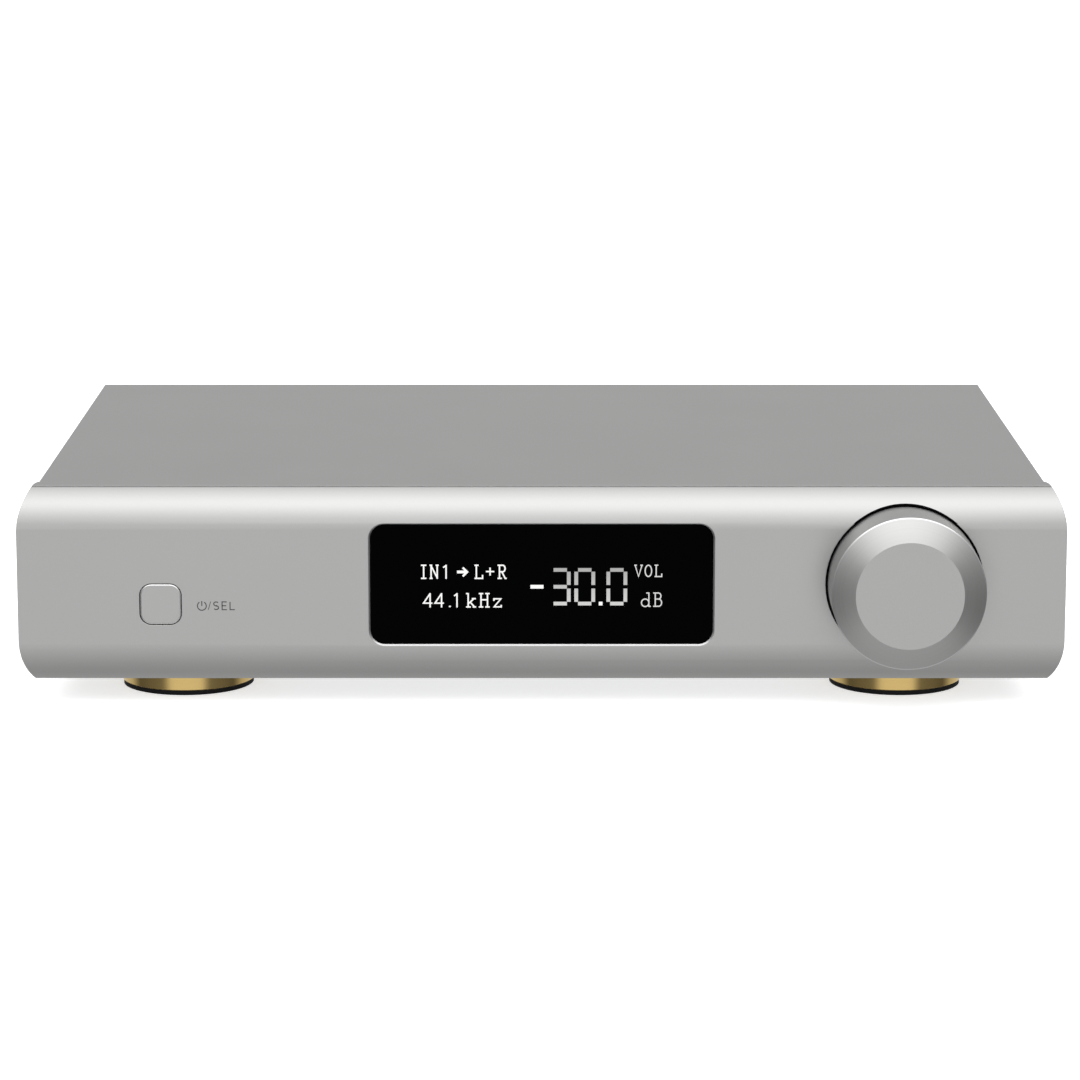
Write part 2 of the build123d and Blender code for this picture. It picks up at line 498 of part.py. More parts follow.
def make_power_switch():
    x, z = ROCKER_X, ROCKER_Z
    frame = rounded_y(x, z, ROCKER_BODY_W - SMALL, ROCKER_BODY_H - SMALL, 0.8, 198, BODY_DEPTH)
    back = BODY_DEPTH
    frame = frame + rounded_y(x, z, ROCKER_BODY_W + 2.4, ROCKER_BODY_H + 3.0, 1.2, back, back + 1.5)
    reach = ROCKER_SWING + 0.4
    frame = frame - block(x - 5.3, x + 5.3, 203, back + 3, z - reach, z + reach)
    pin_r = 1.2
    axle = Pos(x, y_at(ROCKER_PIVOT), z) * Rot(Y=90) * Cylinder(pin_r, 12.4)
    frame = frame - Pos(x, y_at(ROCKER_PIVOT), z) * Rot(Y=90) * Cylinder(pin_r + RUNNING, 12.6)
    save("power_switch_frame", frame)
    rocker = Pos(x, y_at(ROCKER_PIVOT), z) * Rot(Y=90) * Cylinder(ROCKER_SWING, 10.0)
    rocker = rocker & block(x - 20, x + 20, ROCKER_PIVOT - 3, ROCKER_PIVOT + 5.2, z - 20, z + 20)
    dish = Pos(x, y_at(ROCKER_PIVOT + 5.2 + 17.0), z) * Rot(Y=90) * Cylinder(18.6, 30)
    rocker = rocker - dish + axle
    turn = Pos(x, y_at(ROCKER_PIVOT), z) * Rot(X=ROCKER_TILT) * Pos(-x, -y_at(ROCKER_PIVOT), -z)
    save("power_rocker", turn * rocker)


def make_xlr_outputs():
    shells, inserts, contacts = [], [], []
    seat = BODY_DEPTH + FLANGE_T
    screws = [screw_y(INLET_X + s * INLET_SCREW, seat, INLET_Z) for s in (-1, 1)]
    for x in XLR_X:
        flange = rounded_y(x, XLR_Z, 26, 31, 3, BODY_DEPTH, BODY_DEPTH + FLANGE_T)
        shell = flange + rod_y(x, XLR_Z, XLR_R - SMALL, 196, BODY_DEPTH)
        shell = shell - rod_y(x, XLR_Z, XLR_CAVITY_R, 195, BODY_DEPTH + 3)
        low = XLR_Z - XLR_CAVITY_R
        key = block(x - 1.2, x + 1.2, 199, BODY_DEPTH - 1, low - 0.5, low + 1.1)
        spots = [(x - s * XLR_SCREW_X, XLR_Z + s * XLR_SCREW_Z) for s in (-1, 1)]
        shell = cut_all(shell + key, [rod_y(sx, sz, SCREW_R, 200, 220) for sx, sz in spots])
        shells.append(shell)
        pins = [rod_y(x + 4.4 * math.cos(a), XLR_Z + 4.4 * math.sin(a), 1.2, 191, 212)
                for a in (math.radians(k) for k in (30, 150, 270))]
        inserts.append(cut_all(rod_y(x, XLR_Z, XLR_CAVITY_R, 196, 199), pins))
        contacts += pins
        screws += [screw_y(sx, seat, sz, length=6.5) for sx, sz in spots]
    save("xlr_shells", together(shells))
    save("xlr_inserts", together(inserts))
    save("xlr_contacts", together(contacts))
    save("socket_screws", together(screws))


def make_phono_sockets():
    barrels, bodies = [], []
    for x in PHONO_X:
        barrel = rod_y(x, PHONO_Z, PHONO_R, 216, BODY_DEPTH + JACK_REACH)
        barrel = barrel + rod_y(x, PHONO_Z, 6.4, BODY_DEPTH, 215) + rod_y(x, PHONO_Z, 5.4, 215, 216)
        barrel = barrel + rod_y(x, PHONO_Z, PHONO_NECK_R - SMALL, 208, BODY_DEPTH)
        barrels.append(barrel - rod_y(x, PHONO_Z, 3.4, 207, 230))
        core = rod_y(x, PHONO_Z, 3.4, 207, 222.5) - rod_y(x, PHONO_Z, 1.65, 210, 230)
        bodies.append(core + block(x - 5.5, x + 5.5, 199, 208, BOARD_TOP, PHONO_Z + 6))
    save("phono_barrels", together(barrels))
    save("phono_bodies", together(bodies))


def make_digital_sockets():
    x, z, w, h = OPTICAL_X, OPTICAL_Z, OPTICAL_W - 2 * SMALL, OPTICAL_H - 2 * SMALL
    mouth = BODY_DEPTH + 1.0
    port = rounded_y(x, z, w, h, 0.8, 197, mouth)
    # the mouth's upper band is where the open shutter lies
    port = port - block(x - 5.2, x + 5.2, 203, mouth + 1, z - 5.4, z + 4.6)
    hinge_z = z + 3.9
    pin = Pos(x, y_at(mouth - 1.4), hinge_z) * Rot(Y=90)
    port = port - pin * Cylinder(0.5 + RUNNING, 11.6)
    save("optical_port", port)
    flap = block(x - 4.9, x + 4.9, mouth - 1.8, mouth - 1.0, z - 5.1, hinge_z)
    save("optical_shutter", flap + pin * Cylinder(0.5, 11.4))
    x, z, w, h = USB_X, USB_Z, USB_W - 2 * SMALL, USB_H - 2 * SMALL
    shell = rounded_y(x, z, w, h, 0.6, 198, mouth)
    shell = shell - block(x - 4.3, x + 4.3, 202, mouth + 1, z - 3.95, z + 3.95)
    tongue = block(x - 2.8, x + 2.8, 200, mouth - 1.5, z - 1.6, z + 1.6)
    save("usb_shell", shell - tongue)
    save("usb_tongue", tongue)
    jacks = []
    for x in TRIGGER_X:
        jack = block(x - 5.5, x + 5.5, 198, REAR_IN - SMALL, BOARD_TOP, TRIGGER_Z + 5.5)
        jack = jack + rod_y(x, TRIGGER_Z, TRIGGER_NECK_R - SMALL, REAR_IN - 1, BODY_DEPTH + 1.5)
        jacks.append(jack - rod_y(x, TRIGGER_Z, TRIGGER_BORE_R, 201, 230))
    save("trigger_sockets", together(jacks))


# ---------------------------------------------------------------- boards and power supply
MAIN_X = (-143.0, 58.0)
MAIN_D = (30.0, BOARD_BACK)
MAIN_POSTS = [(-138.0, 66.0), (-138.0, 128.0), (-138.0, 188.0), (-45.0, 36.0)]
MAIN_POSTS += [(-45.0, 118.0), (-45.0, 196.0), (53.0, 36.0), (53.0, 118.0)]
SUPPLY_X = (66.0, 143.0)
SUPPLY_D = (24.0, 88.0)
SUPPLY_POSTS = [(x, d) for x in (71.0, 138.0) for d in (29.0, 83.0)]
POST_R = 3.0


def make_boards():
    spans = (("main_board", MAIN_X, MAIN_D, MAIN_POSTS), ("supply_board", SUPPLY_X, SUPPLY_D, SUPPLY_POSTS))
    for name, xs, ds, posts in spans:
        board = block(*xs, *ds, BOARD_Z0, BOARD_TOP)
        save(name, cut_all(board, [rod_z(x, d, SCREW_R, 20, 30) for x, d in posts]))
    posts, screws = [], []
    for x, d in MAIN_POSTS + SUPPLY_POSTS:
        post = Pos(x, y_at(d), FLOOR_TOP) * extrude(RegularPolygon(POST_R, 6), amount=BOARD_Z0 - FLOOR_TOP)
        posts.append(post - rod_z(x, d, SCREW_R, 0, 40))
        top = screw_z(x, d, BOARD_TOP, False, length=6)
        bottom = screw_z(x, d, BODY_BOTTOM, True, length=7.5, head_h=1.0)
        screws += [top, bottom]
    save("board_posts", together(posts))
    save("board_screws", together(screws))


def can_z(x, depth, r, h):
    return rod_z(x, depth, r, BOARD_TOP, BOARD_TOP + h)


def chip(x, depth, w, d, h):
    return block(x - w / 2, x + w / 2, depth - d / 2, depth + d / 2, BOARD_TOP, BOARD_TOP + h)


def make_components():
    shield = chip(2, 96, 64, 50, 8) - block(-28.5, 32.5, 72.5, 119.5, BOARD_TOP - 1, BOARD_TOP + 7)
    save("shield_can", shield)
    chips = [chip(x, 96, 10, 10, 1.2) for x in (-14, 18)]
    chips += [chip(-95, 148, 16, 16, 1.4), chip(-72, 176, 10, 10, 1.4)]
    chips += [chip(-70 + 13 * k, 60, 5, 4, 1.5) for k in range(3)]
    chips += [chip(x, 150, 5, 4, 1.5) for x in (-8, 6, 20, 34)]
    chips += [chip(x, 122, 7, 5, 3) for x in (-92, -76)]
    save("signal_chips", together(chips))
    save("output_relays", together([chip(x, 178, 9, 19, 10) for x in (-30, -14, 6, 20, 34)]))
    cans = [can_z(-130 + 15 * k, 74, 5.0, 14) for k in range(5)]
    cans += [can_z(-20 + 14 * k, 140, 4.0, 11) for k in range(6)]
    cans += [can_z(-130 + 13 * k, 100, 4.0, 9) for k in range(3)]
    cans += [can_z(80 + 16.5 * k, 39, 8.0, 30) for k in range(4)]
    save("capacitors", together(cans))
    fins = block(80, 130, 78, 80.5, BOARD_TOP, 54)
    for k in range(9):
        fins = fins + block(80 + 6 * k, 82 + 6 * k, 64, 79, BOARD_TOP, 54)
    save("heatsink", fins)
    regulators = [block(x - 5, x + 5, 80.5, 85.0, 32, 47) for x in (92, 118)]
    save("supply_parts", together(regulators + [chip(76, 60, 6, 15, 14)]))


def make_transformer():
    x, d, r = TOROID_X, TOROID_DEPTH, TOROID_R
    z0 = FLOOR_TOP + 2.0
    z1 = z0 + TOROID_H
    ring = rod_z(x, d, r, z0, z1)
    ring = fillet(ring.edges(), 9.0) - rod_z(x, d, 13.0, z0 - 1, z1 + 1)
    save("transformer", ring)
    pads = [rod_z(x, d, r - 4, FLOOR_TOP, z0) - rod_z(x, d, 2.5, 0, 80)]
    pads.append(rod_z(x, d, r - 8, z1, z1 + 2.0) - rod_z(x, d, 2.5, 0, 80))
    save("transformer_pads", together(pads))
    top = z1 + 2.0
    dish = [(2.5, top), (28, top), (28, top + 1.2), (14, top + 2.0), (2.5, top + 2.0)]
    save("transformer_washer", turned(dish, x, d, 0, along_y=False))
    bolt = rod_z(x, d, 2.5, BODY_BOTTOM - 1.5, top + 8) + rod_z(x, d, 4.6, BODY_BOTTOM - 3.0, BODY_BOTTOM)
    nut = Pos(x, y_at(d), top + 2.0) * extrude(RegularPolygon(4.6, 6), amount=4.0) - rod_z(x, d, 2.5, 0, 80)
    save("transformer_bolt", together([bolt, nut]))


def make_wiring():
    back = INLET_FRONT - 5
    z_pin = INLET_Z + SOCKET_DZ - 2.0
    wires = []
    for dx, z_tab, turn_d in ((-7.0, ROCKER_Z + 6, back - 4), (7.0, ROCKER_Z - 6, back - 7.5)):
        x = INLET_X + dx
        route = [(x, back, z_pin), (x, turn_d, z_pin), (ROCKER_X, turn_d, z_tab), (ROCKER_X, 190, z_tab)]
        wires.append(cable(route, 1.3, 3.5))
    for x in (84, 90, 96, 102):
        start = TOROID_DEPTH - math.sqrt(TOROID_R**2 - (x - TOROID_X) ** 2) - 0.4
        wires.append(cable([(x, start, 38), (x, 92, 38), (x, 92, 30), (x, 87.8, 30)], 1.0, 2.5))
    for d in (49, 52.5, 56, 59.5):
        wires.append(Pos(62, y_at(d), 30) * Rot(Y=90) * Cylinder(0.8, 9))
    encoder_back, z_low = WALL_BACK + 6.5, KNOB_Z - 3
    wires.append(cable([(KNOB_X, encoder_back, z_low), (KNOB_X, 19, z_low), (62, 19, 46), (30, 19, 46),
                        (30, 19, 31), (30, 34, 31)], 1.4, 4.0))
    save("internal_wires", together(wires))
    turns = [(-20, WALL_BACK + DISPLAY_BOARD_T, 50), (-20, 20, 50), (-20, 20, 31), (-20, 34, 31)]
    path = FilletPolyline(*[(x, y_at(d), z) for x, d, z in turns], radius=5.0)
    section = Plane(origin=path @ 0, x_dir=(1, 0, 0), z_dir=path % 0) * Rectangle(20, 0.8)
    save("ribbon_cable", sweep(section, path=path))
    spots = [(81, 105, 85.2, 87.8), (66.5, 70, 46, 62), (54, 57.5, 46, 62)]
    spots += [(-32, -8, 34, 39), (25, 35, 34, 38)]
    save("wire_headers", together([block(*spot, BOARD_TOP, BOARD_TOP + 8.4) for spot in spots]))


envelope = case_envelope()
save("top_cover", make_top_cover(envelope))
save("bottom_plate", make_bottom_plate(envelope))
save("left_rail", make_side_rail(envelope, -1))
save("right_rail", make_side_rail(envelope, 1))
save("rear_panel", make_rear_panel(envelope))
save("fascia", make_fascia())
make_case_screws()
make_display()
make_button()
make_volume()
make_feet()
make_inlet()
make_power_switch()
make_xlr_outputs()
make_phono_sockets()
make_digital_sockets()
make_boards()
make_components()
make_transformer()
make_wiring()

os.makedirs("parts", exist_ok=True)
for name, shape in parts.items():
    export_step(shape, f"parts/{name}.step")
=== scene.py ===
import json
import math

import bpy
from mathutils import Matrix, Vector


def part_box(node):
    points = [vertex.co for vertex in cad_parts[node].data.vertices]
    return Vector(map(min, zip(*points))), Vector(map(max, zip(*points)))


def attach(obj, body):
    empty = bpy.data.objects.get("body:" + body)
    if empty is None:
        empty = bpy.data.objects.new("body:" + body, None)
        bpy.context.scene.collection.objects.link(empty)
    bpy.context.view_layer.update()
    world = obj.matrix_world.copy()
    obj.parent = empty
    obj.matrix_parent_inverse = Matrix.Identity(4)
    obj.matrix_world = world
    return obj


# Looks for a desktop digital-to-analogue converter. Metres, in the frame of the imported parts:
# +X right seen from the front, +Y towards the rear sockets, +Z up.

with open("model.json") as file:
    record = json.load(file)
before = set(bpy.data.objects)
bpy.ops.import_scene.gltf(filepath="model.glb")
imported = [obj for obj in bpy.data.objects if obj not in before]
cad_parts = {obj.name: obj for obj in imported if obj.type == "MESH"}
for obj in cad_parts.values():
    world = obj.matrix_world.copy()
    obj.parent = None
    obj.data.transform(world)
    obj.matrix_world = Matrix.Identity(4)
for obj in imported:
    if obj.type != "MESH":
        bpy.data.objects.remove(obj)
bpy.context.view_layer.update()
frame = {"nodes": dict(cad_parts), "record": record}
nodes = frame["nodes"]
MM = 0.001

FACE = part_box("fascia")[0].y
KNOB_LO, KNOB_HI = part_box("volume_knob")
KNOB_X = (KNOB_LO.x + KNOB_HI.x) / 2
KNOB_Z = (KNOB_LO.z + KNOB_HI.z) / 2
KNOB_R = (KNOB_HI.x - KNOB_LO.x) / 2
FEET_LO, FEET_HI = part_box("foot_shells")
GLASS_LO, GLASS_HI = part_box("display_glass")

FOOT_X = 114.9 * MM                    # each foot's axis, either side of the middle
WINDOW_HALF = (54.0 * MM, 19.25 * MM)  # half the width and height of the fascia's window
WINDOW_CORNER = 4.6 * MM
WINDOW_CHAMFER = 0.42 * MM             # how wide a band of the chamfer round the window is painted brighter: a painted highlight


# ---------------------------------------------------------------- node helpers
class Shader:
    """A node material under construction, with short calls for the nodes it uses."""

    def __init__(self, name):
        self.material = bpy.data.materials.new(name)
        self.material.use_nodes = True
        self.tree = self.material.node_tree
        self.bsdf = self.tree.nodes["Principled BSDF"]

    def link(self, source, target):
        self.tree.links.new(source, target)

    def node(self, kind, **settings):
        made = self.tree.nodes.new(kind)
        for key, value in settings.items():
            setattr(made, key, value)
        return made

    def place(self):
        return self.node("ShaderNodeTexCoord").outputs["Object"]

    def maths(self, operation, a, b=None, c=None):
        made = self.node("ShaderNodeMath", operation=operation)
        for socket, value in zip(made.inputs, (a, b, c)):
            if value is None:
                continue
            if isinstance(value, (int, float)):
                socket.default_value = value
            else:
                self.link(value, socket)
        return made.outputs[0]

    def length(self, a, b):
        squares = self.maths("MULTIPLY", a, a), self.maths("MULTIPLY", b, b)
        return self.maths("SQRT", self.maths("ADD", *squares))

    def split(self, vector):
        made = self.node("ShaderNodeSeparateXYZ")
        self.link(vector, made.inputs[0])
        return made.outputs

    def join(self, x, y):
        made = self.node("ShaderNodeCombineXYZ")
        self.link(x, made.inputs[0])
        self.link(y, made.inputs[1])
        return made.outputs[0]

    def noise(self, vector, scale, detail=3.0, rough=0.55):
        made = self.node("ShaderNodeTexNoise")
        made.inputs["Scale"].default_value = scale
        made.inputs["Detail"].default_value = detail
        made.inputs["Roughness"].default_value = rough
        self.link(vector, made.inputs["Vector"])
        return made.outputs["Fac"]

    def spread(self, value, low, high, out_low, out_high):
        made = self.node("ShaderNodeMapRange")
        self.link(value, made.inputs["Value"])
        for key, number in zip(("From Min", "From Max", "To Min", "To Max"), (low, high, out_low, out_high)):
            made.inputs[key].default_value = number
        return made.outputs["Result"]

    def blend(self, factor, first, second):
        made = self.node("ShaderNodeMix", data_type="RGBA")
        self.link(factor, made.inputs["Factor"])
        for socket, value in ((made.inputs[6], first), (made.inputs[7], second)):
            if isinstance(value, (tuple, list)):
                socket.default_value = (*value, 1.0)
            else:
                self.link(value, socket)
        return made.outputs[2]

    def stretch(self, vector, scale):
        made = self.node("ShaderNodeVectorMath", operation="MULTIPLY")
        made.inputs[1].default_value = scale
        self.link(vector, made.inputs[0])
        return made.outputs[0]

    def bump(self, height, distance, strength=1.0, onto=None):
        made = self.node("ShaderNodeBump")
        made.inputs["Distance"].default_value = distance
        made.inputs["Strength"].default_value = strength
        self.link(height, made.inputs["Height"])
        if onto is not None:
            self.link(onto, made.inputs["Normal"])
        return made.outputs["Normal"]

    def soft_edges(self, radius):
        made = self.node("ShaderNodeBevel")
        made.samples = 6
        made.inputs["Radius"].default_value = radius
        return made.outputs["Normal"]

    def finish(self, colour, rough, normal, metallic=0.0, **extra):
        self.link(colour, self.bsdf.inputs["Base Color"])
        self.link(rough, self.bsdf.inputs["Roughness"])
        self.link(normal, self.bsdf.inputs["Normal"])
        self.bsdf.inputs["Metallic"].default_value = metallic
        for key, value in extra.items():
            self.bsdf.inputs[key.replace("_", " ")].default_value = value
        return self.material


def scaled(colour, factor):
    return tuple(min(1.0, c * factor) for c in colour)


# ---------------------------------------------------------------- materials
def away_from(s, place, x, z):
    """(distance from a line along Y, place along that line)"""
    parts = s.split(place)
    dx, dz = s.maths("SUBTRACT", parts[0], x), s.maths("SUBTRACT", parts[2], z)
    return s.length(dx, dz), parts[1]


FINE_GRAIN = 5200.0                    # scale of blasted grain and turned rings
PAINTED_RECESS_SHADE = (0.006, 0.006, 0.006)      # painted shade: the recess behind the knob is drawn near-black, where its gap falls into shadow
WINDOW_HIGHLIGHT = (0.66, 0.66, 0.66)        # painted highlight: the chamfer round the window, drawn brighter than the anodised faces
# painted highlight on the button's rounded edge
BUTTON_HIGHLIGHT = (0.82, 0.82, 0.82)
# painted highlight on the knob's rim: its brighter colour, and the drop in roughness there
KNOB_HIGHLIGHT, KNOB_HIGHLIGHT_SHINE = (0.68, 0.68, 0.68), -0.12


def window_edge(s, place):
    """1 on the fascia's chamfer round the window, 0 elsewhere."""
    parts = s.split(place)
    middle_x, middle_z = (GLASS_LO.x + GLASS_HI.x) / 2, (GLASS_LO.z + GLASS_HI.z) / 2
    past_corner = []
    for axis, middle, half in ((0, middle_x, WINDOW_HALF[0]), (2, middle_z, WINDOW_HALF[1])):
        off = s.maths("ABSOLUTE", s.maths("SUBTRACT", parts[axis], middle))
        past_corner.append(s.maths("MAXIMUM", s.maths("SUBTRACT", off, half - WINDOW_CORNER), 0.0))
    within = s.maths("LESS_THAN", s.length(*past_corner), WINDOW_CORNER + WINDOW_CHAMFER)
    return s.maths("MULTIPLY", within, s.maths("GREATER_THAN", parts[1], FACE + 0.03 * MM))


def blasted_metal(name, colour, rough, edge=0.25 * MM, shaded_recess=None, window=False,
                  highlight_from=None):
    """Bead-blasted, anodised aluminium: a fine even grain with faint cloudy shifts in tone.

    A round recess given as (x, z, radius, y) is painted near-black deeper than y: painted shade in the gap
    behind the knob.
    The window option paints the chamfer round the fascia's window brighter: a painted highlight.
    A y given for a rounded edge paints that edge brighter behind it: a painted highlight.
    """
    s = Shader(name)
    place = s.place()
    cloud = s.noise(place, 26.0, 2.0)
    grain = s.noise(place, FINE_GRAIN, 2.0, 0.7)
    tone = s.blend(s.spread(cloud, 0.3, 0.7, 0, 1), scaled(colour, 0.985), scaled(colour, 1.015))
    tone = s.blend(s.spread(grain, 0.25, 0.75, 0, 0.35), tone, scaled(colour, 0.93))
    shine = s.maths("ADD", s.spread(cloud, 0.3, 0.7, rough - 0.012, rough + 0.012),
                    s.spread(grain, 0.2, 0.8, -0.03, 0.03))
    # painted shade: the round recess behind the knob is drawn near-black
    if shaded_recess:
        x, z, radius, y = shaded_recess
        distance, depth = away_from(s, place, x, z)
        in_painted_shade = s.maths("MULTIPLY", s.maths("LESS_THAN", distance, radius),
                         s.maths("GREATER_THAN", depth, y))
        tone = s.blend(in_painted_shade, tone, PAINTED_RECESS_SHADE)
    # painted highlight: the chamfer round the window is drawn brighter
    if window:
        tone = s.blend(window_edge(s, place), tone, WINDOW_HIGHLIGHT)
    # painted highlight: the rounded edge behind this y is drawn brighter
    if highlight_from is not None:
        depth = away_from(s, place, 0.0, 0.0)[1]
        tone = s.blend(s.maths("GREATER_THAN", depth, highlight_from), tone, BUTTON_HIGHLIGHT)
    normal = s.bump(grain, 0.004 * MM, 0.6, s.soft_edges(edge))
    return s.finish(tone, shine, normal, 1.0)


def turned_metal(name, colour, rough, radius_of, depth=0.003 * MM, flat_end=None, highlight_rim=None):
    """Lathe-turned metal: fine rings about an axis. radius_of builds (distance from axis, place along it).

    At flat_end, the Y place of a blasted flat end, the rings give way to an even grain.
    A rim given as (radius, first y, last y) is painted brighter, with lower roughness: a painted highlight
    round the knob's rim.
    """
    s = Shader(name)
    place = s.place()
    ring_place = radius_of(s, place)
    rings = s.noise(ring_place, FINE_GRAIN, 2.0, 0.6)
    grain = s.noise(place, FINE_GRAIN, 2.0, 0.7)
    if flat_end is not None:
        parts = s.split(place)
        is_turned = s.spread(parts[1], flat_end, flat_end + 0.1 * MM, 0.0, 1.0)
        mixed = s.node("ShaderNodeMix", data_type="FLOAT")
        s.link(is_turned, mixed.inputs[0])
        s.link(grain, mixed.inputs[2])
        s.link(rings, mixed.inputs[3])
        rings = mixed.outputs[0]
    tone = s.blend(s.spread(rings, 0.3, 0.7, 0, 1), scaled(colour, 0.955), scaled(colour, 1.04))
    shine = s.maths("ADD", s.spread(rings, 0.3, 0.7, rough - 0.03, rough + 0.03),
                    s.spread(grain, 0.3, 0.7, -0.015, 0.015))
    # painted highlight: a band round the knob's rim is drawn brighter, its roughness lowered
    if highlight_rim:
        radius, first, last = highlight_rim
        parts = s.split(ring_place)
        beyond = s.maths("GREATER_THAN", parts[0], radius)
        between = s.maths("MULTIPLY", s.maths("GREATER_THAN", parts[1], first),
                          s.maths("LESS_THAN", parts[1], last))
        rim_highlight = s.maths("MULTIPLY", beyond, between)
        tone = s.blend(rim_highlight, tone, KNOB_HIGHLIGHT)
        shine = s.maths("ADD", shine, s.maths("MULTIPLY", rim_highlight, KNOB_HIGHLIGHT_SHINE))
    normal = s.bump(rings, depth, 0.7)
    return s.finish(tone, shine, normal, 1.0)


def about_knob(s, place):
    """(distance from the knob's axis, place along it) as a vector, for turned rings."""
    return s.join(*away_from(s, place, KNOB_X, KNOB_Z))


def about_feet(s, place):
    """(distance from the nearest foot's axis, height) for the four turned feet."""
    parts = s.split(place)
    radius = (FEET_HI.x - FEET_LO.x) / 2 - FOOT_X
    mid_y = (FEET_LO.y + FEET_HI.y) / 2
    foot_y = (FEET_HI.y - FEET_LO.y) / 2 - radius
    dx = s.maths("SUBTRACT", s.maths("ABSOLUTE", parts[0]), FOOT_X)
    dy = s.maths("SUBTRACT", s.maths("ABSOLUTE", s.maths("SUBTRACT", parts[1], mid_y)), foot_y)
    return s.join(s.length(dx, dy), parts[2])


def plain(name, colour, rough, metallic=0.0, grain=1500.0, vary=0.1, depth=0.01 * MM, edge=0.2 * MM,
          stretch=(1.0, 1.0, 1.0), **extra):
    """Moulded, coated, plated or brushed surfaces: grain in tone, shine and relief at one scale."""
    s = Shader(name)
    place = s.stretch(s.place(), stretch)
    fine = s.noise(place, grain, 3.0, 0.6)
    cloud = s.noise(place, grain / 40.0, 2.0)
    tone = s.blend(s.spread(fine, 0.3, 0.7, 0, 1), scaled(colour, 1 - vary), scaled(colour, 1 + vary))
    shine = s.maths("ADD", s.spread(cloud, 0.3, 0.7, rough * 0.93, rough * 1.07),
                    s.spread(fine, 0.3, 0.7, -0.02, 0.02))
    normal = s.bump(fine, depth, 0.7, s.soft_edges(edge))
    return s.finish(tone, shine, normal, metallic, **extra)


def black_glass(name):
    """The window: clear-coated black glass with hardly any reflection, faintly wiped."""
    s = Shader(name)
    place = s.place()
    wipe = s.noise(s.stretch(place, (1.0, 1.0, 0.35)), 60.0, 3.0)
    dust = s.noise(place, 4000.0, 1.0)
    tone = s.blend(s.spread(dust, 0.6, 0.75, 0, 1), (0.0004, 0.0004, 0.0005), (0.0012, 0.0012, 0.0014))
    shine = s.spread(wipe, 0.35, 0.65, 0.05, 0.12)
    normal = s.bump(wipe, 0.0005 * MM, 0.2)
    return s.finish(tone, shine, normal, 0.0, Specular_IOR_Level=0.01)


def glowing(name, colour, strength, fade=0.0):
    """Lit display segments, a little dimmer towards their upper end."""
    s = Shader(name)
    place = s.place()
    parts = s.split(place)
    glass_height = GLASS_HI.z - GLASS_LO.z
    low, high = GLASS_LO.z + 0.3 * glass_height, GLASS_HI.z - 0.35 * glass_height
    level = s.spread(parts[2], low, high, 1.0, 1.0 - fade)
    dots = s.spread(s.noise(place, 2600.0, 1.0), 0.3, 0.7, 0.94, 1.06)
    brightness = s.maths("MULTIPLY", s.maths("MULTIPLY", level, dots), strength)
    s.link(brightness, s.bsdf.inputs["Emission Strength"])
    s.bsdf.inputs["Emission Color"].default_value = (*colour, 1.0)
    tone = s.blend(level, scaled(colour, 0.02), scaled(colour, 0.05))
    return s.finish(tone, s.spread(dots, 0.9, 1.1, 0.45, 0.55), s.bump(dots, 0.001 * MM, 0.1), 0.0,
                    Specular_IOR_Level=0.02)


def circuit_board(name):
    """Green solder mask over a grid of copper tracks."""
    s = Shader(name)
    place = s.place()
    brick = s.node("ShaderNodeTexBrick")
    brick.inputs["Scale"].default_value = 160.0
    brick.inputs["Mortar Size"].default_value = 0.02
    brick.inputs["Color1"].default_value = (0.012, 0.085, 0.035, 1)
    brick.inputs["Color2"].default_value = (0.010, 0.070, 0.030, 1)
    brick.inputs["Mortar"].default_value = (0.025, 0.16, 0.06, 1)
    s.link(place, brick.inputs["Vector"])
    cloud = s.noise(place, 90.0, 2.0)
    tone = s.blend(s.spread(cloud, 0.3, 0.7, 0, 0.3), brick.outputs["Color"], (0.01, 0.06, 0.03))
    normal = s.bump(brick.outputs["Fac"], 0.03 * MM, 0.5, s.soft_edges(0.1 * MM))
    return s.finish(tone, s.spread(cloud, 0.3, 0.7, 0.32, 0.42), normal, 0.0)


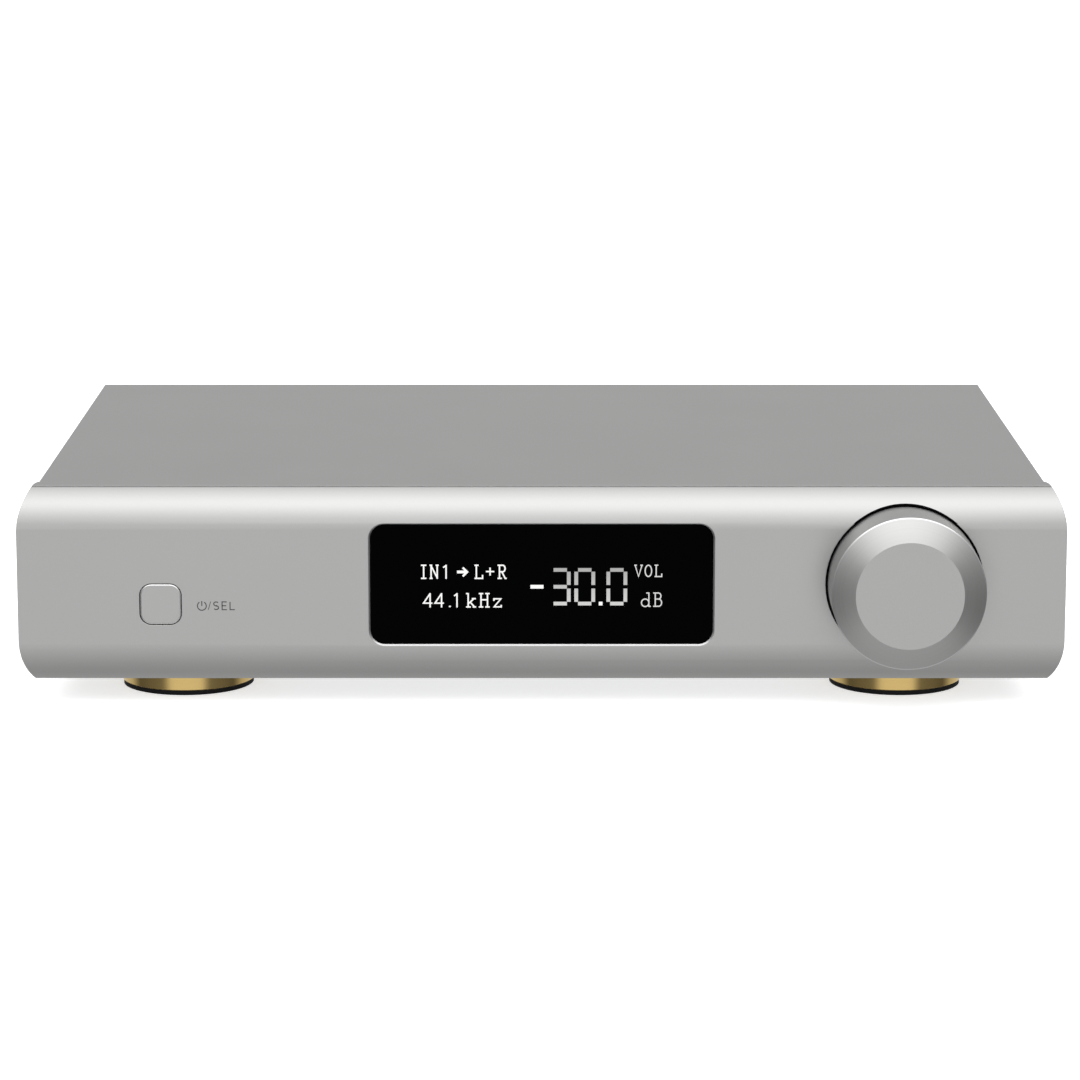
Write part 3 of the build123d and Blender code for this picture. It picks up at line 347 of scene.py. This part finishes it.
ALUMINIUM = (0.47, 0.47, 0.465)
# the band round the knob's rim that carries a painted highlight
knob_highlight_rim = (KNOB_R - 0.34 * MM, KNOB_LO.y + 3.5 * MM, KNOB_LO.y + 3.9 * MM)
# the recess behind the knob, painted near-black as painted shade
knob_recess_shade = (KNOB_X, KNOB_Z, KNOB_R + 0.95 * MM, FACE + 0.12 * MM)
materials = {
    "case_aluminium": blasted_metal("case_aluminium", ALUMINIUM, 0.40),
    "fascia_aluminium": blasted_metal("fascia_aluminium", ALUMINIUM, 0.40, shaded_recess=knob_recess_shade,
                                      window=True),
    "button_aluminium": blasted_metal("button_aluminium", ALUMINIUM, 0.36, 0.05 * MM,
                                      highlight_from=FACE + 0.04 * MM),
    "knob_aluminium": turned_metal("knob_aluminium", ALUMINIUM, 0.43, about_knob, flat_end=KNOB_LO.y,
                                   highlight_rim=knob_highlight_rim),
    "gold_aluminium": turned_metal("gold_aluminium", (0.68, 0.49, 0.19), 0.17, about_feet),
    "foot_rubber": plain("foot_rubber", (0.006, 0.006, 0.006), 0.8,
                         grain=2600.0, vary=0.25, Specular_IOR_Level=0.2),
    "window_glass": black_glass("window_glass"),
    "black_panel": plain("black_panel", (0.022, 0.022, 0.023), 0.5,
                         grain=2400.0, vary=0.2, depth=0.03 * MM),
    "galvanised": plain("galvanised", (0.46, 0.47, 0.47), 0.36, 1.0,
                        grain=700.0, vary=0.1, stretch=(0.15, 1, 1)),
    "screw_steel": plain("screw_steel", (0.05, 0.05, 0.05), 0.35, 1.0, grain=1800.0),
    "bright_screw": plain("bright_screw", (0.5, 0.5, 0.49), 0.3, 1.0, grain=1800.0),
    "black_plastic": plain("black_plastic", (0.018, 0.018, 0.018), 0.5, grain=2200.0, depth=0.015 * MM),
    "rocker_plastic": plain("rocker_plastic", (0.012, 0.012, 0.012), 0.25, grain=1500.0, depth=0.002 * MM),
    "white_plastic": plain("white_plastic", (0.72, 0.71, 0.67), 0.45,
                           grain=1500.0, vary=0.03, depth=0.005 * MM),
    "nickel": plain("nickel", (0.62, 0.60, 0.57), 0.2, 1.0, grain=1600.0, vary=0.05, depth=0.002 * MM),
    "gold_plate": plain("gold_plate", (0.78, 0.56, 0.22), 0.18, 1.0,
                        grain=1600.0, vary=0.06, depth=0.002 * MM),
    "circuit_board": circuit_board("circuit_board"),
    "chip_black": plain("chip_black", (0.02, 0.02, 0.021), 0.6, grain=3000.0, vary=0.2),
    "tape_yellow": plain("tape_yellow", (0.62, 0.42, 0.04), 0.35,
                         grain=420.0, vary=0.12, stretch=(1, 1, 0.2)),
    "can_sleeve": plain("can_sleeve", (0.03, 0.045, 0.10), 0.35, grain=900.0, vary=0.15),
    "wire_jacket": plain("wire_jacket", (0.22, 0.02, 0.015), 0.4, grain=1200.0, vary=0.1),
    "ribbon_grey": plain("ribbon_grey", (0.32, 0.32, 0.33), 0.45,
                         grain=1100.0, vary=0.2, stretch=(1, 0.02, 0.02)),
    "adhesive": plain("adhesive", (0.012, 0.012, 0.012), 0.8, grain=2600.0, vary=0.2),
    "fuse_glass": plain("fuse_glass", (0.7, 0.75, 0.75), 0.08, grain=600.0, vary=0.03, depth=0.001 * MM),
    "display_stack": plain("display_stack", (0.006, 0.006, 0.007), 0.15, grain=900.0, depth=0.001 * MM),
}

slot_of = {entry["node"]: entry["material_slot"] for entry in frame["record"]["subparts"]}
for name, node in nodes.items():
    node.data.materials.clear()
    node.data.materials.append(materials[slot_of[name]])
    node.data.shade_smooth()
    node.data.set_sharp_from_angle(angle=math.radians(28))


# ---------------------------------------------------------------- drawn marks
def new_piece(name, verts, faces, material, body):
    """A drawn mesh that moves with a body of the frame."""
    mesh = bpy.data.meshes.new(name)
    mesh.from_pydata([tuple(v) for v in verts], [], faces)
    mesh.update()
    mesh.materials.append(material)
    piece = bpy.data.objects.new(name, mesh)
    bpy.context.scene.collection.objects.link(piece)
    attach(piece, body)
    return piece


class Marks:
    """Thin flat strokes on a plane facing the front, gathered into one mesh."""

    def __init__(self, y, thickness=0.02 * MM):
        self.verts, self.faces = [], []
        self.front, self.back = y - thickness, y

    def prism(self, outline):
        """A flat shape from (x, z) points in order, given a little thickness."""
        area = sum(a[0] * b[1] - b[0] * a[1] for a, b in zip(outline, outline[1:] + outline[:1]))
        points = outline if area > 0 else outline[::-1]
        start, count = len(self.verts), len(points)
        self.verts += [(x, self.front, z) for x, z in points] + [(x, self.back, z) for x, z in points]
        self.faces.append([start + k for k in range(count)])
        self.faces.append([start + count + k for k in reversed(range(count))])
        for k in range(count):
            n = (k + 1) % count
            self.faces.append([start + n, start + k, start + count + k, start + count + n])

    def rectangle(self, x0, z0, x1, z1):
        self.prism([(x0, z0), (x1, z0), (x1, z1), (x0, z1)])

    def stroke(self, points, width, closed=False):
        """A line of even width with mitred corners and square ends."""
        points = [Vector(p) for p in points]
        count = len(points)
        left, right = [], []
        for k, p in enumerate(points):
            before = points[k - 1] if k or closed else None
            after = points[(k + 1) % count] if k < count - 1 or closed else None
            spans = [(a, b) for a, b in ((before, p), (p, after)) if a is not None and b is not None]
            ways = [(b - a).normalized() for a, b in spans]
            along = sum(ways, Vector((0, 0))).normalized()
            across = Vector((-along.y, along.x))
            stretch = 1.0 / max(0.5, abs(across.dot(Vector((-ways[0].y, ways[0].x)))))
            left.append(p + across * width / 2 * stretch)
            right.append(p - across * width / 2 * stretch)
        for k in range(count if closed else count - 1):
            n = (k + 1) % count
            self.prism([tuple(right[k]), tuple(right[n]), tuple(left[n]), tuple(left[k])])

    def make(self, name, material, body):
        return new_piece(name, self.verts, self.faces, material, body)


def arc(cx, cz, rx, rz, start, end, steps=10):
    """Points along an ellipse between two angles in degrees."""
    angles = [math.radians(start + (end - start) * k / steps) for k in range(steps + 1)]
    return [(cx + rx * math.cos(a), cz + rz * math.sin(a)) for a in angles]


# letter strokes in a cell one unit wide and CELL_HEIGHT high; "l" is a capital L without feet
CELL_HEIGHT = 1.5
GLYPHS = {
    "I": [[(0.2, 0.05), (0.8, 0.05)], [(0.2, 1.45), (0.8, 1.45)], [(0.5, 0.05), (0.5, 1.45)]],
    "N": [[(0.18, 0.0), (0.18, 1.5)], [(0.18, 1.4), (0.82, 0.1)], [(0.82, 0.0), (0.82, 1.5)],
          [(0.02, 1.45), (0.3, 1.45)], [(0.02, 0.05), (0.34, 0.05)], [(0.66, 1.45), (0.98, 1.45)]],
    "1": [[(0.25, 1.2), (0.55, 1.42)], [(0.55, 0.0), (0.55, 1.5)]],
    "4": [[(0.95, 0.45), (0.05, 0.45), (0.72, 1.45)], [(0.72, 0.0), (0.72, 1.5)]],
    ".": [[(0.4, 0.1), (0.6, 0.1)]],
    "L": [[(0.25, 0.0), (0.25, 1.5)], [(0.05, 1.45), (0.5, 1.45)],
          [(0.05, 0.05), (0.92, 0.05), (0.92, 0.42)]],
    "+": [[(0.05, 0.78), (0.95, 0.78)], [(0.5, 0.35), (0.5, 1.2)]],
    "R": [[(0.25, 0.0), (0.25, 1.5)], [(0.05, 0.05), (0.5, 0.05)],
          [(0.05, 1.45), (0.6, 1.45)] + arc(0.58, 1.1, 0.26, 0.35, 80, -80) + [(0.25, 0.75)],
          [(0.5, 0.75), (0.85, 0.05), (1.0, 0.05)]],
    "k": [[(0.25, 0.0), (0.25, 1.5)], [(0.05, 1.45), (0.25, 1.45)], [(0.05, 0.05), (0.5, 0.05)],
          [(0.3, 0.42), (0.8, 0.92)], [(0.6, 0.92), (0.98, 0.92)], [(0.45, 0.55), (0.85, 0.05)],
          [(0.68, 0.05), (1.0, 0.05)]],
    "H": [[(0.22, 0.0), (0.22, 1.5)], [(0.8, 0.0), (0.8, 1.5)], [(0.22, 0.8), (0.8, 0.8)],
          [(0.02, 1.45), (0.42, 1.45)], [(0.6, 1.45), (1.0, 1.45)], [(0.02, 0.05), (0.42, 0.05)],
          [(0.6, 0.05), (1.0, 0.05)]],
    "z": [[(0.1, 0.68), (0.1, 0.9), (0.88, 0.9), (0.12, 0.06), (0.92, 0.06), (0.92, 0.26)]],
    "d": [arc(0.45, 0.42, 0.36, 0.4, 20, 340, 14), [(0.55, 1.45), (0.8, 1.45), (0.8, 0.05), (0.98, 0.05)]],
    "B": [[(0.25, 0.0), (0.25, 1.5)],
          [(0.05, 1.45), (0.58, 1.45)] + arc(0.56, 1.13, 0.25, 0.32, 80, -80) + [(0.25, 0.81)],
          [(0.25, 0.81), (0.6, 0.81)] + arc(0.58, 0.43, 0.3, 0.38, 80, -80) + [(0.05, 0.05)]],
    "V": [[(0.1, 1.45), (0.5, 0.05), (0.9, 1.45)], [(0.0, 1.45), (0.3, 1.45)], [(0.7, 1.45), (1.0, 1.45)]],
    "O": [arc(0.5, 0.75, 0.38, 0.7, 0, 360, 20)],
    "/": [[(0.2, 0.0), (0.8, 1.5)]],
    "S": [arc(0.5, 1.12, 0.4, 0.38, 35, 270) + arc(0.5, 0.38, 0.4, 0.36, 90, -145)],
    "E": [[(0.9, 1.5), (0.12, 1.5), (0.12, 0.0), (0.9, 0.0)], [(0.12, 0.76), (0.8, 0.76)]],
    "l": [[(0.12, 1.5), (0.12, 0.0), (0.9, 0.0)]],
}


def letter_strokes(marks, letter, x, z, width, height, line):
    """One letter from GLYPHS, its cell's lower left corner at (x, z)."""
    for points in GLYPHS[letter]:
        marks.stroke([(x + px * width, z + pz / CELL_HEIGHT * height) for px, pz in points], line)


# which bars of a seven-bar digit are lit, in the order of the boxes in digit()
SEGMENTS = {
    "3": "1011011",
    "0": "1110111",
}


def digit(marks, name, x, z, unit, bar, height):
    """A seven-bar digit whose bars meet only at their corners."""
    lit = [mark == "1" for mark in SEGMENTS[name]]
    upright = (height - 3 * unit) / 2
    left, right = x, x + unit + bar
    low, mid, high = z, z + unit + upright, z + 2 * unit + 2 * upright
    boxes = [
        (x + unit, high, x + unit + bar, high + unit),
        (left, mid + unit, left + unit, high),
        (right, mid + unit, right + unit, high),
        (x + unit, mid, x + unit + bar, mid + unit),
        (left, low + unit, left + unit, mid),
        (right, low + unit, right + unit, mid),
        (x + unit, low, x + unit + bar, low + unit),
    ]
    for on, (x0, z0, x1, z1) in zip(lit, boxes):
        if on:
            marks.rectangle(x0, z0, x1, z1)


WORD_LINE, UNIT_LINE, SLASH_LINE = 0.45 * MM, 0.36 * MM, 0.24 * MM
LIT = (1, 1, 0.98)


def spaced(marks, letters, z, height, line):
    """Letters given as (letter, middle in mm, width in mm) on one line."""
    for letter, middle, width in letters:
        letter_strokes(marks, letter, (middle - width / 2) * MM, z, width * MM, height, line)


def make_display():
    """What the window shows: source, sample rate and level, in generic words."""
    y = GLASS_LO.y
    unit, bar, height = 1.17 * MM, 4.2 * MM, 12.0 * MM
    z0 = 33.25 * MM
    level = Marks(y)
    first = 2.6 * MM
    cell = 2 * unit + bar + unit
    digit(level, "3", first, z0, unit, bar, height)
    digit(level, "0", first + cell, z0, unit, bar, height)
    digit(level, "0", first + 2 * cell + 2.05 * unit, z0, unit, bar, height)
    level_glow = glowing("display_level_glow", LIT, 0.62, 0.42)
    level.make("display_level", level_glow, "case")
    bright = Marks(y)
    point = first + 2 * cell
    bright.rectangle(point, z0, point + unit, z0 + unit)
    middle = z0 + height / 2
    bright.rectangle(-3.5 * MM, middle - unit / 2, 0.6 * MM, middle + unit / 2)
    source = (("I", -37.1, 2.8), ("N", -33.8, 3.0), ("1", -30.2, 3.0), ("L", -19.8, 2.9), ("+", -16.2, 2.9),
              ("R", -12.5, 3.0))
    spaced(bright, source, 41.8 * MM, 4.5 * MM, WORD_LINE)
    rate = (("4", -35.8, 3.1), ("4", -32.2, 3.1), (".", -28.9, 3.0), ("1", -26.8, 3.0), ("k", -22.3, 3.3),
            ("H", -18.1, 3.5), ("z", -13.9, 2.8))
    spaced(bright, rate, 32.6 * MM, 4.6 * MM, WORD_LINE)
    arrow_x, arrow_z = -26.6 * MM, 44.0 * MM
    tip = arrow_x + 3.2 * MM
    bright.stroke([(arrow_x, arrow_z), (tip - 0.3 * MM, arrow_z)], 0.9 * MM)
    barb = 1.4 * MM
    bright.stroke([(tip - barb, arrow_z + barb), (tip, arrow_z), (tip - barb, arrow_z - barb)], 0.62 * MM)
    bright.make("display_words", glowing("display_words_glow", LIT, 0.95), "case")
    dim = Marks(y)
    spaced(dim, (("V", 30.5, 2.7), ("O", 33.6, 2.7), ("L", 36.7, 2.6)), 42.4 * MM, 3.9 * MM, UNIT_LINE)
    spaced(dim, (("d", 32.8, 3.3), ("B", 36.6, 3.2)), 32.8 * MM, 4.6 * MM, UNIT_LINE)
    dim.make("display_units", glowing("display_units_glow", LIT, 0.68), "case")


def make_legend():
    """The button's printed marks: a standby sign, a slash and SEL."""
    marks = Marks(FACE, 0.012 * MM)
    x, z, r, line = -107.0 * MM, 33.2 * MM, 1.4 * MM, 0.34 * MM
    marks.stroke(arc(x, z, r, r, 122, 418, 22), line)
    marks.stroke([(x, z), (x, z + 1.55 * MM)], line)
    spaced(marks, (("/", -104.6, 1.3),), 32.0 * MM, 2.6 * MM, SLASH_LINE)
    spaced(marks, (("S", -102.5, 1.9), ("E", -99.9, 1.9), ("l", -97.4, 1.9)), 32.0 * MM, 2.5 * MM, line)
    ink = plain("legend_ink", (0.05, 0.05, 0.05), 0.55, grain=2500.0, vary=0.1, depth=0.001 * MM)
    marks.make("standby_mark", ink, "case")


make_display()
make_legend()


# ---------------------------------------------------------------- studio
FLOOR_SIZE, FLOOR_GLOW = 14.0, 0.62
# the room's brightness by degrees up from the front horizon, over the top to the rear one
RISE = [(-180, 0.9), (-150, 0.8), (-90, 0.5), (-60, 0.62), (-35, 0.77), (-11, 1.01), (0, 1.09), (20, 1.47),
        (45, 2.0), (65, 1.98), (92, 1.4), (107, 1.02), (140, 0.7), (165, 0.5), (180, 0.8)]
# how it dims to the sides, in front of the object and behind it
SIDE_AHEAD = [(0.0, 1.0), (0.25, 1.0), (0.37, 0.24), (0.9, 0.24), (1.0, 0.32)]
SIDE_BEHIND = [(0.0, 1.0), (0.5, 0.9), (0.8, 0.55), (1.0, 0.3)]
SIDE_WIDENING = 2.0                    # the bright band widens with height
FRONT_TO_BACK = 3.0                    # how soon the sides change from one to the other
SEEN_LEVEL = 1.05                      # the room as the camera sees it: plain white
RAMP_SCALE = 2.0                       # levels are divided by this to fit a colour
LENS, SENSOR = 134.6, 36.0
CAMERA_PLACE = (-0.0005, FACE - 1.2438, 0.2992)
CAMERA_PITCH = 11.136                  # degrees below level


def make_floor():
    """A plain pale floor, left out of reflections."""
    mesh = bpy.data.meshes.new("studio_floor")
    corners = [(x * FLOOR_SIZE, y * FLOOR_SIZE, 0) for x, y in ((-1, -1), (1, -1), (1, 1), (-1, 1))]
    mesh.from_pydata(corners, [], [(0, 1, 2, 3)])
    floor = bpy.data.objects.new("studio_floor", mesh)
    bpy.context.scene.collection.objects.link(floor)
    s = Shader("studio_floor")
    soft = s.noise(s.place(), 3.0, 2.0)
    tone = s.blend(soft, (0.90, 0.90, 0.90), (0.92, 0.92, 0.92))
    normal = s.bump(soft, 0.01 * MM, 0.1)
    s.finish(tone, s.spread(soft, 0, 1, 0.9, 1.0), normal, 0.0, Specular_IOR_Level=0.0)
    s.bsdf.inputs["Emission Color"].default_value = (1, 1, 1, 1)
    s.bsdf.inputs["Emission Strength"].default_value = FLOOR_GLOW
    mesh.materials.append(s.material)
    floor.visible_glossy = False


def area_light(name, place, aim, width, height, radiance):
    """A soft rectangular light whose surface has the given brightness."""
    data = bpy.data.lights.new(name, "AREA")
    data.shape = "RECTANGLE"
    data.size, data.size_y = width, height
    data.energy = radiance * math.pi * width * height
    lamp = bpy.data.objects.new(name, data)
    lamp.location = place
    lamp.rotation_euler = (Vector(aim) - Vector(place)).to_track_quat("-Z", "Y").to_euler()
    bpy.context.scene.collection.objects.link(lamp)


def grey_ramp(tree, stops):
    """A ramp through (place, level) stops, its levels divided by RAMP_SCALE."""
    ramp = tree.nodes.new("ShaderNodeValToRGB")
    elements = ramp.color_ramp.elements
    while len(elements) < len(stops):
        elements.new(0.5)
    for element, (place, level) in zip(elements, stops):
        element.position = place
        grey = level / RAMP_SCALE
        element.color = (grey, grey, grey, 1)
    return ramp


def make_world():
    """A soft room. Its light depends on the angle up from the front horizon, and dims to either side."""
    world = bpy.data.worlds.new("studio")
    world.use_nodes = True
    bpy.context.scene.world = world
    tree = world.node_tree
    background = tree.nodes["Background"]
    coords = tree.nodes.new("ShaderNodeTexCoord")
    parts = tree.nodes.new("ShaderNodeSeparateXYZ")
    tree.links.new(coords.outputs["Generated"], parts.inputs[0])

    def maths(operation, a, b=0.0, c=0.0):
        made = tree.nodes.new("ShaderNodeMath")
        made.operation = operation
        for socket, value in zip(made.inputs, (a, b, c)):
            if isinstance(value, float):
                socket.default_value = value
            else:
                tree.links.new(value, socket)
        return made.outputs[0]

    angle = maths("ARCTAN2", parts.outputs[2], maths("MULTIPLY", parts.outputs[1], -1.0))
    rise = grey_ramp(tree, [((degrees + 180) / 360, level) for degrees, level in RISE])
    tree.links.new(maths("MULTIPLY_ADD", angle, 0.5 / math.pi, 0.5), rise.inputs[0])
    widen = maths("ADD", maths("MULTIPLY", maths("ABSOLUTE", parts.outputs[2]), SIDE_WIDENING), 1.0)
    sideways = maths("DIVIDE", maths("ABSOLUTE", parts.outputs[0]), widen)
    ahead, behind = grey_ramp(tree, SIDE_AHEAD), grey_ramp(tree, SIDE_BEHIND)
    tree.links.new(sideways, ahead.inputs[0])
    tree.links.new(sideways, behind.inputs[0])
    turn = tree.nodes.new("ShaderNodeMix")
    tree.links.new(maths("MULTIPLY", parts.outputs[1], FRONT_TO_BACK), turn.inputs[0])
    tree.links.new(ahead.outputs[0], turn.inputs[2])
    tree.links.new(behind.outputs[0], turn.inputs[3])
    level = maths("MULTIPLY", maths("MULTIPLY", rise.outputs[0], turn.outputs[0]),
                  RAMP_SCALE * RAMP_SCALE)
    seen = tree.nodes.new("ShaderNodeLightPath").outputs["Is Camera Ray"]
    shown = maths("MAXIMUM", level, maths("MULTIPLY", seen, SEEN_LEVEL))
    tree.links.new(shown, background.inputs["Strength"])
    background.inputs["Color"].default_value = (1, 1, 1, 1)


def make_camera():
    """The view: a little above the object, straight at its front."""
    data = bpy.data.cameras.new("camera")
    data.sensor_width = SENSOR
    data.lens = LENS
    camera = bpy.data.objects.new("camera", data)
    camera.location = CAMERA_PLACE
    camera.rotation_euler = (math.radians(90 - CAMERA_PITCH), 0, 0)
    bpy.context.scene.collection.objects.link(camera)
    bpy.context.scene.camera = camera


make_floor()
make_world()
area_light("softbox", place=(0, -1.2, 1.4), aim=(0, 0, 0.03), width=1.2, height=0.6, radiance=0.4)
make_camera()
bpy.context.scene.view_settings.view_transform = "Standard"
